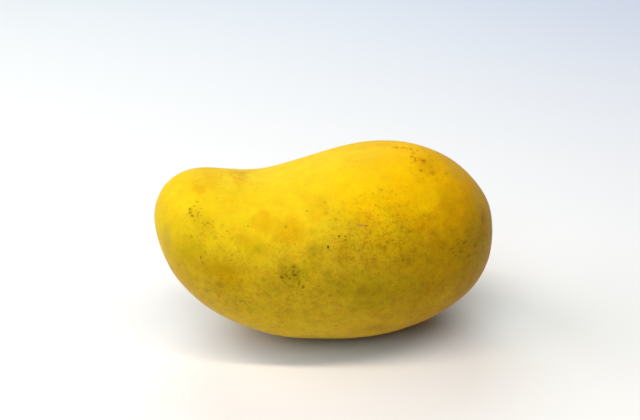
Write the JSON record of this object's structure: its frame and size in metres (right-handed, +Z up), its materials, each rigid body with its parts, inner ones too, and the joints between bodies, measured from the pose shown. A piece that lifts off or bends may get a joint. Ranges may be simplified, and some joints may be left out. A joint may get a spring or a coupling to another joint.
{
  "type": "mango",
  "caption": "Whole ripe yellow mango, slim and kidney-shaped, with a hollow before its blunt tip and a small corky stem scar, lying on its rounded back.",
  "frame": {"origin": "on the surface that the fruit rests on, under the middle of its box", "axes": "+X from the tip to the stem end, Y from cheek to cheek, +Z up, away from the rounded back that it rests on"},
  "size_m": [0.1192, 0.0642, 0.071],
  "materials": {
    "skin": "satin"
  },
  "bodies": {
    "root": {"mango": "skin"}
  },
  "joints": []
}
